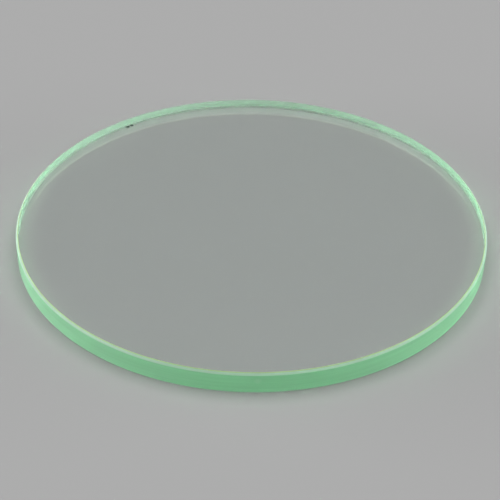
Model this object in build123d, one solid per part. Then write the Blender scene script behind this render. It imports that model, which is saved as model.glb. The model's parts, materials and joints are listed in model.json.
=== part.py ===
from build123d import *
import os

# Flat mineral-glass watch crystal: one disc of soda-lime plate glass.
#
# The blank is cut from plate, so both faces are flat and parallel and keep their fire polish. The rim is
# ground true on a diamond wheel, and a finer wheel then breaks the corner round each face with a narrow
# bevel, so that neither edge chips when the glass is pressed into its gasket.
#
# Frame: millimetres, +Z up out of the watch, with the origin at the centre of the underside.

# The plate and the blank that is cut from it.
DIAMETER = 30.0
THICKNESS = 1.5

# The bevel round the top face: its width across that face, and its slope away from the face in degrees.
TOP_BEVEL_WIDTH = 0.15
TOP_BEVEL_SLOPE = 45.0

# The bevel round the underside, given in the same way.
BOTTOM_BEVEL_WIDTH = 0.15
BOTTOM_BEVEL_SLOPE = 45.0


def blank():
    """The disc as it leaves the diamond wheel, with a true rim and sharp corners, on its underside."""
    return Cylinder(DIAMETER / 2, THICKNESS, align=(Align.CENTER, Align.CENTER, Align.MIN))


def bevelled(disc, side, width, slope):
    """The disc with a bevel round one face: side is -1 for the top face and 0 for the underside."""
    face = disc.faces().sort_by(Axis.Z)[side]
    return chamfer(face.edges(), length=width, angle=slope, reference=face)


def crystal():
    """The finished glass."""
    disc = bevelled(blank(), -1, TOP_BEVEL_WIDTH, TOP_BEVEL_SLOPE)
    return bevelled(disc, 0, BOTTOM_BEVEL_WIDTH, BOTTOM_BEVEL_SLOPE)


os.makedirs("parts", exist_ok=True)
export_step(crystal(), "parts/crystal.step")
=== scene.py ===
import bpy
import json
import math
from mathutils import Matrix, Vector


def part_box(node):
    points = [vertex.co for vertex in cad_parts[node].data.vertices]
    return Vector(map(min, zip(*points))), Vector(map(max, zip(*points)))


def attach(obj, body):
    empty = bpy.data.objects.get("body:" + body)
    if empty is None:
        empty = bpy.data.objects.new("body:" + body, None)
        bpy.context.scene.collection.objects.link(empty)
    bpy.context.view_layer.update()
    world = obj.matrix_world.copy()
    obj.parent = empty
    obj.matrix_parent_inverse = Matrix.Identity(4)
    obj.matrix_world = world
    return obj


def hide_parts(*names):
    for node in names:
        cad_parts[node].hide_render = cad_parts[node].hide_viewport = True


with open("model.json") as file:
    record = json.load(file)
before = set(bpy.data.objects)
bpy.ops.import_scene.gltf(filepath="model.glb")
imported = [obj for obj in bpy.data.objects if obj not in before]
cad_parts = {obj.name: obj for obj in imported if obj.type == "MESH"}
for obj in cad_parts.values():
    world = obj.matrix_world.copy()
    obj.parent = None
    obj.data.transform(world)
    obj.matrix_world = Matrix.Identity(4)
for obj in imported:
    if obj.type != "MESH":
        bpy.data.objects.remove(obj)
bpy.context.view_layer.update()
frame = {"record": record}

# ---- The camera --------------------------------------------------------------------------------
# A short telephoto, looking down on the glass from the front at a little over a third of a right angle. The
# tripod head is a degree out of level, and the aim is a little nearer than the middle of the glass.

MM = 0.001
low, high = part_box("crystal")
radius = (high.x - low.x) / 2
camera_height = math.radians(36.6)
camera_lean = math.radians(0.89)
camera_distance = 5.97 * radius
aim = Vector((-0.0053 * radius, -0.095 * radius, low.z))

camera_data = bpy.data.cameras.new("camera")
camera_data.sensor_width = 36.0
camera_data.lens = 100.8
camera_data.clip_start = 1 * MM
camera_data.clip_end = 10.0
camera = bpy.data.objects.new("camera", camera_data)
bpy.context.scene.collection.objects.link(camera)
turned = Matrix.Rotation(math.pi / 2 - camera_height, 4, "X") @ Matrix.Rotation(camera_lean, 4, "Z")
stepped_back = turned.to_3x3() @ Vector((0, 0, camera_distance))
camera.matrix_world = Matrix.Translation(aim + stepped_back) @ turned
bpy.context.scene.camera = camera

# ---- The crystal: its shape --------------------------------------------------------------------
# One disc of soda-lime plate glass. Both faces are as the plate came, flat and fire polished. The rim is
# ground true on a diamond wheel, and a finer wheel breaks the corner round each face with a narrow bevel.
# It is only pressed into a gasket, so nothing is fixed to it.

thickness = high.z - low.z
seat = next(m for m in frame["record"]["mounts"] if m["name"] == "rim_seat")
seat_height = seat["dims"]["length_mm"] * MM
seat_middle = seat["pos_m"][2]
top_bevel = high.z - (seat_middle + seat_height / 2)
bottom_bevel = seat_middle - seat_height / 2 - low.z


def add(tree, kind, *inputs, **settings):
    """Adds a node. The settings are its properties. The inputs fill its sockets in order, or by name when
    they come as one dictionary, each with a plain value, a node's first output, or a socket."""
    node = tree.nodes.new(kind)
    for name, value in settings.items():
        setattr(node, name, value)
    if inputs and isinstance(inputs[0], dict):
        filled = [(node.inputs[name], value) for name, value in inputs[0].items()]
    else:
        filled = zip([socket for socket in node.inputs if socket.enabled], inputs)
    for socket, value in filled:
        if isinstance(value, bpy.types.Node):
            value = next(output for output in value.outputs if output.enabled)
        if isinstance(value, bpy.types.NodeSocket):
            tree.links.new(value, socket)
        else:
            socket.default_value = value
    return node


# The disc's tree, and the sizes that it takes.
disc = bpy.data.node_groups.new("ground glass disc", "GeometryNodeTree")
disc.interface.new_socket("Geometry", in_out="INPUT", socket_type="NodeSocketGeometry")
disc_sizes = {
    "Radius": radius,
    "Thickness": thickness,
    "Top Bevel": top_bevel,
    "Bottom Bevel": bottom_bevel,
    "Corner Radius": 0.02 * MM,
    "Fine Margin": 0.35 * MM,
    "Fine Step": 0.06 * MM,
    "Steps Round": 1536,
    "Chips": 8,
    "Chip Radius": 0.06 * MM,
    "Nick Radius": 0.16 * MM,
    "Nicks At": math.radians(126.9),
    "Seed": 8,
}
for name, value in disc_sizes.items():
    kind = "NodeSocketInt" if isinstance(value, int) else "NodeSocketFloat"
    disc.interface.new_socket(name, in_out="INPUT", socket_type=kind)
disc.interface.new_socket("Glass", in_out="INPUT", socket_type="NodeSocketMaterial")
disc.interface.new_socket("Geometry", in_out="OUTPUT", socket_type="NodeSocketGeometry")
given = add(disc, "NodeGroupInput").outputs
index = add(disc, "GeometryNodeInputIndex")
place = add(disc, "GeometryNodeInputPosition")

# Half of the section is a line: out along the top face, down the rim, and back under to the middle.
top_edge = add(disc, "ShaderNodeMath", given["Radius"], given["Top Bevel"], operation="SUBTRACT")
top_margin = add(disc, "ShaderNodeMath", top_edge, given["Fine Margin"], operation="SUBTRACT")
shoulder = add(disc, "ShaderNodeMath", given["Thickness"], given["Top Bevel"], operation="SUBTRACT")
bottom_edge = add(disc, "ShaderNodeMath", given["Radius"], given["Bottom Bevel"], operation="SUBTRACT")
bottom_margin = add(disc, "ShaderNodeMath", bottom_edge, given["Fine Margin"], operation="SUBTRACT")
corners = [
    (0.0, given["Thickness"]),
    (top_margin, given["Thickness"]),
    (top_edge, given["Thickness"]),
    (given["Radius"], shoulder),
    (given["Radius"], given["Bottom Bevel"]),
    (bottom_edge, 0.0),
    (bottom_margin, 0.0),
    (0.0, 0.0),
]
first_ground, last_ground = 2, 5
corner_place = add(disc, "GeometryNodeIndexSwitch", data_type="VECTOR")
for spare in corners[2:]:
    corner_place.index_switch_items.new()
disc.links.new(index.outputs[0], corner_place.inputs[0])
for number, (out, up) in enumerate(corners):
    corner = add(disc, "ShaderNodeCombineXYZ", out, 0.0, up)
    disc.links.new(corner.outputs[0], corner_place.inputs[number + 1])
line = add(disc, "GeometryNodeMeshLine", len(corners))
cornered = add(disc, "GeometryNodeSetPosition", line, True, corner_place)

# The four ground corners are rounded a little. The rim, with a margin of each face, is cut into fine steps.
past_first = add(disc, "ShaderNodeMath", index, first_ground - 0.5, operation="GREATER_THAN")
before_last = add(disc, "ShaderNodeMath", index, last_ground + 0.5, operation="LESS_THAN")
is_ground = add(disc, "ShaderNodeMath", past_first, before_last, operation="MULTIPLY")
rounding = add(disc, "ShaderNodeMath", given["Corner Radius"], is_ground, operation="MULTIPLY")
open_line = add(disc, "GeometryNodeMeshToCurve", cornered)
rounded = add(disc, "GeometryNodeFilletCurve", open_line, 2, rounding, True, mode="POLY")
next_index = add(disc, "ShaderNodeMath", index, 1.0, operation="ADD")
next_place = add(disc, "GeometryNodeFieldAtIndex", place, next_index, data_type="FLOAT_VECTOR")
run = add(disc, "ShaderNodeVectorMath", place, next_place, operation="DISTANCE")
steps = add(disc, "ShaderNodeMath", run, given["Fine Step"], operation="DIVIDE")
leaves = add(disc, "ShaderNodeSeparateXYZ", place)
reaches = add(disc, "ShaderNodeSeparateXYZ", next_place)
nearest_in = add(disc, "ShaderNodeMath", leaves, reaches, operation="MINIMUM")
off_middle = add(disc, "ShaderNodeMath", nearest_in, given["Fine Margin"], operation="GREATER_THAN")
cuts = add(disc, "ShaderNodeMath", steps, off_middle, operation="MULTIPLY")
section_line = add(disc, "GeometryNodeSubdivideCurve", rounded, cuts)
section = add(disc, "GeometryNodeCurveToMesh", section_line)

# A sheet with one row of points for each point of the section is rolled once round the axis, and closed.
section_points = add(disc, "GeometryNodeAttributeDomainSize", section, component="MESH")
columns = add(disc, "ShaderNodeMath", given["Steps Round"], 1.0, operation="ADD")
sheet = add(disc, "GeometryNodeMeshGrid", 1.0, 1.0, columns, section_points)
row = add(disc, "ShaderNodeMath", index, section_points, operation="MODULO")
whole_rows = add(disc, "ShaderNodeMath", index, section_points, operation="DIVIDE")
column = add(disc, "ShaderNodeMath", whole_rows, operation="FLOOR")
part_turned = add(disc, "ShaderNodeMath", column, given["Steps Round"], operation="DIVIDE")
turn = add(disc, "ShaderNodeMath", part_turned, math.tau, operation="MULTIPLY")
section_place = add(disc, "GeometryNodeSampleIndex", section, place, row, data_type="FLOAT_VECTOR")
round_place = add(disc, "ShaderNodeVectorRotate", section_place, (0, 0, 0), turn, rotation_type="Z_AXIS")
inside_out = add(disc, "GeometryNodeSetPosition", sheet, True, round_place)
rolled = add(disc, "GeometryNodeFlipFaces", inside_out)
closed = add(disc, "GeometryNodeMergeByDistance", rolled, True, 0.001 * MM)

# What is ground is every face that leans: the faces of the plate are level. The map lays the rim out as
# lengths, one above another, and the two faces small above them.
level_limit = 0.95
lengths, map_rows, map_edge, face_map_radius = 8, 10, 0.02, 0.09
top_map_place, bottom_map_place = (0.15, 0.9, 0.0), (0.4, 0.9, 0.0)
facing = add(disc, "ShaderNodeSeparateXYZ", add(disc, "GeometryNodeInputNormal"))
up_or_down = add(disc, "ShaderNodeMath", facing.outputs["Z"], operation="ABSOLUTE")
leans = add(disc, "ShaderNodeMath", up_or_down, level_limit, operation="LESS_THAN")
face_leans = add(disc, "GeometryNodeFieldOnDomain", leans, data_type="FLOAT", domain="FACE")
faces_up = add(disc, "ShaderNodeMath", facing.outputs["Z"], 0.0, operation="GREATER_THAN")
face_is_top = add(disc, "GeometryNodeFieldOnDomain", faces_up, data_type="FLOAT", domain="FACE")
round_share = add(disc, "ShaderNodeSeparateXYZ", sheet.outputs["UV Map"])
laid_out = add(disc, "ShaderNodeMath", round_share, float(lengths), operation="MULTIPLY")
face_laid_out = add(disc, "GeometryNodeFieldOnDomain", laid_out, data_type="FLOAT", domain="FACE")
length_number = add(disc, "ShaderNodeMath", face_laid_out, operation="FLOOR")
along = add(disc, "ShaderNodeMath", laid_out, length_number, operation="SUBTRACT")
along_map = add(disc, "ShaderNodeMapRange", along, 0.0, 1.0, map_edge, 1 - map_edge, clamp=False)
here = add(disc, "ShaderNodeSeparateXYZ", place)
up_share = add(disc, "ShaderNodeMath", here.outputs["Z"], given["Thickness"], operation="DIVIDE")
up_in_row = add(disc, "ShaderNodeMapRange", up_share, 0.0, 1.0, map_edge, 1 - map_edge, clamp=False)
up_rows = add(disc, "ShaderNodeMath", length_number, up_in_row, operation="ADD")
up_map = add(disc, "ShaderNodeMath", up_rows, float(map_rows), operation="DIVIDE")
rim_map = add(disc, "ShaderNodeCombineXYZ", along_map, up_map)
face_shrink = add(disc, "ShaderNodeMath", face_map_radius, given["Radius"], operation="DIVIDE")
face_small = add(disc, "ShaderNodeVectorMath", place, face_shrink, operation="SCALE")
face_home = add(disc, "GeometryNodeSwitch", face_is_top, bottom_map_place, top_map_place,
                input_type="VECTOR")
face_map = add(disc, "ShaderNodeVectorMath", face_small, face_home, operation="ADD")
whole_map = add(disc, "GeometryNodeSwitch", face_leans, face_map, rim_map, input_type="VECTOR")
mapped = add(disc, "GeometryNodeStoreNamedAttribute", closed, True, "OFBake", whole_map,
             data_type="FLOAT2", domain="CORNER")

# The chips are bites of small balls, each centred outside a ground corner by half its radius. The first
# two are nicks of the underside's corner, side by side at the back; the others are scattered over all
# four corners.
nick_count = 2
nick_spacing = math.radians(1.2)
smallest_share = 0.6
stand_off_share = 0.5
corner_turn = math.radians(45.0)
middle_corner = (first_ground + last_ground) / 2
is_nick = add(disc, "ShaderNodeMath", index, nick_count - 0.5, operation="LESS_THAN")
nick_turn = add(disc, "ShaderNodeMath", index, -nick_spacing, given["Nicks At"], operation="MULTIPLY_ADD")
any_turn = add(disc, "FunctionNodeRandomValue", 0.0, math.tau, index, given["Seed"], data_type="FLOAT")
chip_turn = add(disc, "GeometryNodeSwitch", is_nick, any_turn, nick_turn, input_type="FLOAT")
corner_seed = add(disc, "ShaderNodeMath", given["Seed"], 1.0, operation="ADD")
any_corner = add(disc, "FunctionNodeRandomValue", first_ground, last_ground, index, corner_seed,
                 data_type="INT")
chip_corner = add(disc, "GeometryNodeSwitch", is_nick, any_corner, last_ground, input_type="INT")
chip_seed = add(disc, "ShaderNodeMath", given["Seed"], 2.0, operation="ADD")
smallest_chip = add(disc, "ShaderNodeMath", given["Chip Radius"], smallest_share, operation="MULTIPLY")
any_size = add(disc, "FunctionNodeRandomValue", smallest_chip, given["Chip Radius"], index, chip_seed,
               data_type="FLOAT")
chip_size = add(disc, "GeometryNodeSwitch", is_nick, any_size, given["Nick Radius"], input_type="FLOAT")
chip_lean = add(disc, "ShaderNodeMath", chip_corner, corner_turn, -middle_corner * corner_turn,
                operation="MULTIPLY_ADD")
chip_outward = add(disc, "ShaderNodeVectorRotate", (1, 0, 0), (0, 0, 0), chip_lean, rotation_type="Y_AXIS")
chip_stand_off = add(disc, "ShaderNodeMath", chip_size, stand_off_share, operation="MULTIPLY")
chip_offset = add(disc, "ShaderNodeVectorMath", chip_outward, chip_stand_off, operation="SCALE")
chip_at_corner = add(disc, "GeometryNodeSampleIndex", cornered, place, chip_corner,
                     data_type="FLOAT_VECTOR")
chip_in_section = add(disc, "ShaderNodeVectorMath", chip_at_corner, chip_offset, operation="ADD")
chip_place = add(disc, "ShaderNodeVectorRotate", chip_in_section, (0, 0, 0), chip_turn,
                 rotation_type="Z_AXIS")
chips = add(disc, "GeometryNodePoints", given["Chips"], chip_place, chip_size)

# Each point of the glass inside its nearest ball moves to the ball's surface. A bite is bright, not
# ground, and the faces of the two nicks are marked to be coloured dark.
nearest_chip = add(disc, "GeometryNodeSampleNearest", chips, domain="POINT")
bite_middle = add(disc, "GeometryNodeSampleIndex", chips, place, nearest_chip, data_type="FLOAT_VECTOR")
ball_radius = add(disc, "GeometryNodeInputRadius")
bite_radius = add(disc, "GeometryNodeSampleIndex", chips, ball_radius, nearest_chip, data_type="FLOAT")
from_middle = add(disc, "ShaderNodeVectorMath", place, bite_middle, operation="SUBTRACT")
how_far = add(disc, "ShaderNodeVectorMath", from_middle, operation="LENGTH")
is_bitten = add(disc, "ShaderNodeMath", how_far, bite_radius, operation="LESS_THAN")
outward = add(disc, "ShaderNodeVectorMath", from_middle, operation="NORMALIZE")
bite_reach = add(disc, "ShaderNodeVectorMath", outward, bite_radius, operation="SCALE")
bitten_place = add(disc, "ShaderNodeVectorMath", bite_middle, bite_reach, operation="ADD")
is_whole = add(disc, "ShaderNodeMath", 1.0, is_bitten, operation="SUBTRACT")
ground_share = add(disc, "ShaderNodeMath", leans, is_whole, operation="MULTIPLY")
marked = add(disc, "GeometryNodeStoreNamedAttribute", mapped, True, "ground", ground_share,
             data_type="FLOAT", domain="FACE")
# The faces of the two nicks are marked, to be coloured dark.
in_nick = add(disc, "ShaderNodeMath", nearest_chip, nick_count - 0.5, operation="LESS_THAN")
nicked = add(disc, "ShaderNodeMath", is_bitten, in_nick, operation="MULTIPLY")
nicks_marked_dark = add(disc, "GeometryNodeStoreNamedAttribute", marked, True, "nick_darkening", nicked,
             data_type="FLOAT", domain="FACE")
bitten = add(disc, "GeometryNodeSetPosition", nicks_marked_dark, is_bitten, bitten_place)
smooth = add(disc, "GeometryNodeSetShadeSmooth", bitten)
real = add(disc, "GeometryNodeRealizeInstances", smooth)
finished = add(disc, "GeometryNodeSetMaterial", real, True, given["Glass"])
add(disc, "NodeGroupOutput", finished)

# ---- The crystal: its glass --------------------------------------------------------------------
# Soda-lime float glass: colourless through its thin faces, and pale green through its width, from the
# iron in the sand. Where the wheel has cut it, the surface is a mat of tiny fractures, which looks milky
# and soft, with fine lines round the rim that the wheel leaves.


def linear(colour):
    """An sRGB hex colour as the linear colour that a shader takes."""
    shares = [int(colour[i:i + 2], 16) / 255 for i in (1, 3, 5)]
    return (*[s / 12.92 if s <= 0.04045 else ((s + 0.055) / 1.055) ** 2.4 for s in shares], 1.0)


glass = bpy.data.materials.new("polished and fine-ground soda-lime glass")
glass.use_nodes = True
shader = glass.node_tree
shader.nodes.clear()
ground = add(shader, "ShaderNodeAttribute", attribute_name="ground").outputs["Fac"]
spot = add(shader, "ShaderNodeTexCoord").outputs["Object"]

# The wheel's lines run round the rim. Real ones are a few hundredths of a millimetre apart, too fine to
# show, so they are drawn at about 0.2 mm.
line_gap, line_length = 0.2 * MM, 8.0 * MM
line_scale = (1 / line_length, 1 / line_length, 1 / line_gap)
stretched = add(shader, "ShaderNodeVectorMath", spot, line_scale, operation="MULTIPLY")
wheel_lines = add(shader, "ShaderNodeTexNoise",
                  {"Vector": stretched, "Scale": 1.0, "Detail": 2.0, "Roughness": 0.6})
# The mat itself has a grain of about 0.03 mm, drawn at 0.15 mm.
grain_size = 0.15 * MM
spread = add(shader, "ShaderNodeVectorMath", spot, (1 / grain_size,) * 3, operation="MULTIPLY")
grain = add(shader, "ShaderNodeTexNoise", {"Vector": spread, "Scale": 1.0, "Detail": 2.0, "Roughness": 0.5})
relief = add(shader, "ShaderNodeMath", wheel_lines, grain, operation="ADD")
ground_relief = add(shader, "ShaderNodeMath", relief, ground, operation="MULTIPLY")
bump = add(shader, "ShaderNodeBump", {"Strength": 0.15, "Distance": 0.01 * MM, "Height": ground_relief})

# The colours of the plate, the wall, the bevels (ground glass, with a painted sheen that makes them
# whiter), a thin yellow-green painted highlight line where the top bevel meets the top face, and the dark
# of the two nicks.
clear = linear("#ffffff")
wall_milk = linear("#d9f5e3")
# The bevels' colour: ground glass, painted whiter as a sheen for the light they catch.
bevel_milk_and_sheen = linear("#f6fcf8")
# A painted highlight: a thin yellow-green line along the top edge of the top bevel.
painted_edge_glint = linear("#eef7a8")
# The dark colour that the two nicks are given.
nick_dark_colour = linear("#26332b")
bevel_blend = 0.02 * MM
glint_width, glint_core = 0.05 * MM, 0.02 * MM
spot_height = add(shader, "ShaderNodeSeparateXYZ", spot).outputs["Z"]
above_middle = add(shader, "ShaderNodeMath", spot_height, thickness / 2, operation="SUBTRACT")
off_middle_height = add(shader, "ShaderNodeMath", above_middle, operation="ABSOLUTE")
wall_end = seat_height / 2
on_bevel = add(shader, "ShaderNodeMapRange", off_middle_height, wall_end, wall_end + bevel_blend, 0.0, 1.0)
# The painted highlight line lies in the top few hundredths of a millimetre of the ground faces.
glint_starts, glint_full = thickness - glint_width, thickness - glint_core
at_glint = add(shader, "ShaderNodeMapRange", spot_height, glint_starts, glint_full, 0.0, 1.0)
# The bevels take the whiter colour, which is partly a painted sheen.
bevel_or_wall = add(shader, "ShaderNodeMix", on_bevel, wall_milk, bevel_milk_and_sheen, data_type="RGBA")
# The painted highlight line goes over the wall and bevel colours.
milk_sheen_and_glint = add(shader, "ShaderNodeMix", at_glint, bevel_or_wall, painted_edge_glint, data_type="RGBA")

# The lines show as slightly darker and lighter streaks.
darkest_streak = 0.88
streaks = add(shader, "ShaderNodeMapRange", wheel_lines, 0.3, 0.7, darkest_streak, 1.0)
streaked = add(shader, "ShaderNodeVectorMath", milk_sheen_and_glint, streaks, operation="SCALE")

# There is one small pale scuff on the wall at the front.
scuff_turn = math.radians(-88.2)
scuff_place = (radius * math.cos(scuff_turn), radius * math.sin(scuff_turn), 0.65 * thickness)
scuff_core, scuff_reach, scuff_strength = 0.08 * MM, 0.25 * MM, 0.5
off_scuff = add(shader, "ShaderNodeVectorMath", spot, scuff_place, operation="DISTANCE")
scuffed = add(shader, "ShaderNodeMapRange", off_scuff, scuff_core, scuff_reach, scuff_strength, 0.0)
worn = add(shader, "ShaderNodeMix", scuffed, streaked, bevel_milk_and_sheen, data_type="RGBA")
colour_before_nicks = add(shader, "ShaderNodeMix", ground, clear, worn, data_type="RGBA")
# The two nicks are coloured dark.
nick_darkening = add(shader, "ShaderNodeAttribute", attribute_name="nick_darkening").outputs["Fac"]
surface_colour = add(shader, "ShaderNodeMix", nick_darkening, colour_before_nicks, nick_dark_colour, data_type="RGBA")

# Ground glass scatters what passes through it, and its haze, thicker on the bevels, also sends some light
# back.
ground_roughness = 0.9
wall_haze, bevel_haze = 0.10, 0.22
roughness = add(shader, "ShaderNodeMapRange", ground, 0.0, 1.0, 0.0, ground_roughness)
haze = add(shader, "ShaderNodeMapRange", on_bevel, 0.0, 1.0, wall_haze, bevel_haze)
ground_haze = add(shader, "ShaderNodeMath", haze, ground, operation="MULTIPLY")
clearness = add(shader, "ShaderNodeMath", 1.0, ground_haze, operation="SUBTRACT")
surface = add(shader, "ShaderNodeBsdfPrincipled", {
    "Base Color": surface_colour,
    "Roughness": roughness,
    "IOR": 1.52,
    "Transmission Weight": clearness,
    "Normal": bump,
})
# Iron takes the red first and the blue next: 30 mm of this plate passes about half of the red.
inside = add(shader, "ShaderNodeVolumeAbsorption", linear("#59f0a4"), 27.0)
add(shader, "ShaderNodeOutputMaterial", surface, inside)

# The tree makes the mesh, which is then kept plain, with the one material.
crystal = bpy.data.objects.new("crystal_glass", bpy.data.meshes.new("crystal_glass"))
bpy.context.scene.collection.objects.link(crystal)
maker = crystal.modifiers.new("ground glass disc", "NODES")
maker.node_group = disc
for socket in disc.interface.items_tree:
    if socket.in_out == "INPUT" and socket.name in disc_sizes:
        maker[socket.identifier] = disc_sizes[socket.name]
    elif socket.in_out == "INPUT" and socket.name == "Glass":
        maker[socket.identifier] = glass
made_crystal = crystal.evaluated_get(bpy.context.evaluated_depsgraph_get())
finished_mesh = bpy.data.meshes.new_from_object(made_crystal)
crystal.modifiers.remove(maker)
crystal.data = finished_mesh
finished_mesh.materials.clear()
finished_mesh.materials.append(glass)
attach(crystal, "root")
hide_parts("crystal")

# ---- The table it lies on ----------------------------------------------------------------------
# A plain pale sheet, a hair below the glass, which rests on the high spots of both.

floor_half = 1500 * MM
resting_gap = 0.03 * MM
floor_mesh = bpy.data.meshes.new("floor")
floor_corners = [(x, y, low.z - resting_gap) for x, y in
                 ((-floor_half, -floor_half), (floor_half, -floor_half), (floor_half, floor_half),
                  (-floor_half, floor_half))]
floor_mesh.from_pydata(floor_corners, [], [(0, 1, 2, 3)])
floor = bpy.data.objects.new("floor", floor_mesh)
bpy.context.scene.collection.objects.link(floor)
paper = bpy.data.materials.new("matt pale grey paper")
paper.use_nodes = True
paper.node_tree.nodes.clear()
sheet_surface = add(paper.node_tree, "ShaderNodeBsdfPrincipled",
                    {"Base Color": linear("#a8a8a8"), "Roughness": 0.9, "Specular IOR Level": 0.2})
add(paper.node_tree, "ShaderNodeOutputMaterial", sheet_surface)
floor_mesh.materials.append(paper)

# ---- The lights --------------------------------------------------------------------------------
# Two long low softboxes stand on the table at the left and right, so the light enters the glass through its
# ground rim. A wide round one hangs overhead, and a pale room fills in.

softboxes = [
    # name, shape, degrees round from the right, degrees up, width, height, brightness with 1 for white
    ("left", "RECTANGLE", 176, 4.4, 900 * MM, 150 * MM, 25.5),
    ("right", "RECTANGLE", 0, 4.4, 900 * MM, 150 * MM, 17.0),
    ("overhead", "ELLIPSE", 90, 90, 1500 * MM, 1500 * MM, 2.05),
]
softbox_distance = 1000 * MM
for name, shape, way_round, way_up, width, height, brightness in softboxes:
    light_data = bpy.data.lights.new(name, "AREA")
    light_data.shape = shape
    light_data.size = width
    light_data.size_y = height
    cloth = width * height * (math.pi / 4 if shape == "ELLIPSE" else 1)
    light_data.energy = brightness * math.pi * cloth
    light = bpy.data.objects.new(name, light_data)
    light.visible_camera = False
    bpy.context.scene.collection.objects.link(light)
    round_angle, up_angle = math.radians(way_round), math.radians(way_up)
    level = math.cos(up_angle)
    towards = Vector((level * math.cos(round_angle), level * math.sin(round_angle), math.sin(up_angle)))
    facing_glass = towards.to_track_quat("Z", "Y").to_matrix().to_4x4()
    light.matrix_world = Matrix.Translation(towards * softbox_distance) @ facing_glass

room = bpy.data.worlds.new("pale room")
room.use_nodes = True
room.node_tree.nodes.clear()
sky = add(room.node_tree, "ShaderNodeBackground", linear("#e6e6e6"), 0.235)
add(room.node_tree, "ShaderNodeOutputWorld", sky)
bpy.context.scene.world = room
bpy.context.scene.view_settings.view_transform = "Standard"

# Light is guided across the disc by many reflections inside it, so the render follows it further than
# usual.
bpy.context.scene.cycles.max_bounces = 40
bpy.context.scene.cycles.glossy_bounces = 32
bpy.context.scene.cycles.transmission_bounces = 32
bpy.context.scene.cycles.blur_glossy = 0.0
